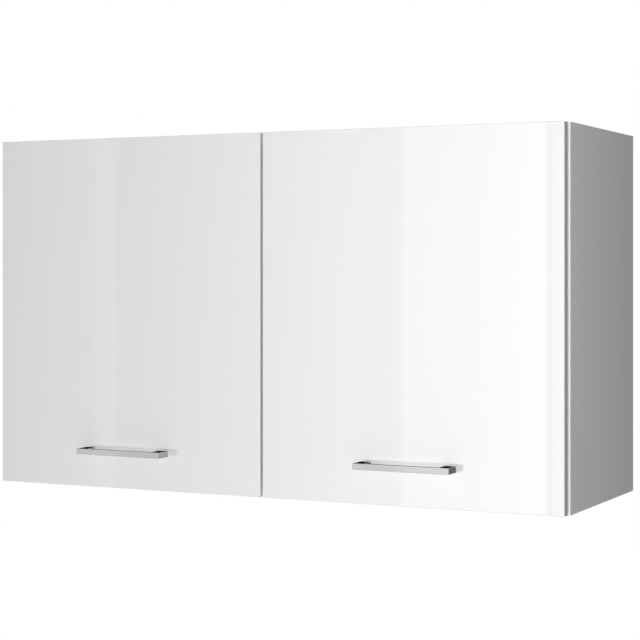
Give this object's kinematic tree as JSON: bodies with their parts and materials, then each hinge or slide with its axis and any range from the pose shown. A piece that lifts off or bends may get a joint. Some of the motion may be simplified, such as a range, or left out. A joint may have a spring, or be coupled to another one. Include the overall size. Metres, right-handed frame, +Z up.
{
  "type": "wall cabinet",
  "caption": "Wide wall cabinet with full-overlay gloss doors on concealed hinges, chrome bow handles, an adjustable shelf and corner hangers.",
  "frame": {"origin": "on the wall plane, midway between the two wall screws, 60 mm below the cabinet's top", "axes": "+X to the right seen from the front, +Y back into the wall, +Z up"},
  "size_m": [1, 0.375, 0.576],
  "materials": {
    "white_board": "satin",
    "white_back": "satin",
    "white_edge": "satin",
    "gloss_front": "gloss",
    "chrome": "polished",
    "nickel_steel": "satin",
    "zinc_fitting": "satin",
    "beech": "matte",
    "white_plastic": "matte",
    "clear_rubber": "satin"
  },
  "bodies": {
    "carcass": {"left_side_panel": "white_board", "right_side_panel": "white_board", "top_panel": "white_board", "bottom_panel": "white_board", "shelf": "white_board", "back_panel": "white_back", "left_edge_band": "white_edge", "right_edge_band": "white_edge", "top_edge_band": "white_edge", "bottom_edge_band": "white_edge", "shelf_edge_band": "white_edge", "shelf_pins": "nickel_steel", "cam_locks": "zinc_fitting", "cam_bolts": "zinc_fitting", "wooden_dowels": "beech", "cam_covers": "white_plastic", "hanger_screws": "zinc_fitting", "plate_screws": "zinc_fitting", "arm_screws": "zinc_fitting", "left_hanger_body": "zinc_fitting", "left_hanger_hook": "zinc_fitting", "left_hanger_cover": "white_plastic", "left_wall_plate": "zinc_fitting", "upper_left_hinge_plate": "nickel_steel", "upper_left_hinge_arm": "nickel_steel", "lower_left_hinge_plate": "nickel_steel", "lower_left_hinge_arm": "nickel_steel", "right_hanger_body": "zinc_fitting", "right_hanger_hook": "zinc_fitting", "right_hanger_cover": "white_plastic", "right_wall_plate": "zinc_fitting", "upper_right_hinge_plate": "nickel_steel", "upper_right_hinge_arm": "nickel_steel", "lower_right_hinge_plate": "nickel_steel", "lower_right_hinge_arm": "nickel_steel"},
    "left_door": {"left_door_panel": "gloss_front", "left_handle": "chrome", "left_handle_screws": "zinc_fitting", "left_door_bumpers": "clear_rubber", "left_hinge_pins": "nickel_steel", "left_cup_screws": "zinc_fitting", "upper_left_hinge_cup": "nickel_steel", "lower_left_hinge_cup": "nickel_steel"},
    "right_door": {"right_door_panel": "gloss_front", "right_handle": "chrome", "right_handle_screws": "zinc_fitting", "right_door_bumpers": "clear_rubber", "right_hinge_pins": "nickel_steel", "right_cup_screws": "zinc_fitting", "upper_right_hinge_cup": "nickel_steel", "lower_right_hinge_cup": "nickel_steel"}
  },
  "joints": [
    {"name": "left_door_swing", "type": "hinge", "parent": "carcass", "child": "left_door", "pos_m": [-0.4905, -0.3375, -0.228], "axis": [0, 0, -1], "range_deg": [0, 100]},
    {"name": "right_door_swing", "type": "hinge", "parent": "carcass", "child": "right_door", "pos_m": [0.4905, -0.3375, -0.228], "axis": [0, 0, 1], "range_deg": [0, 100]}
  ]
}
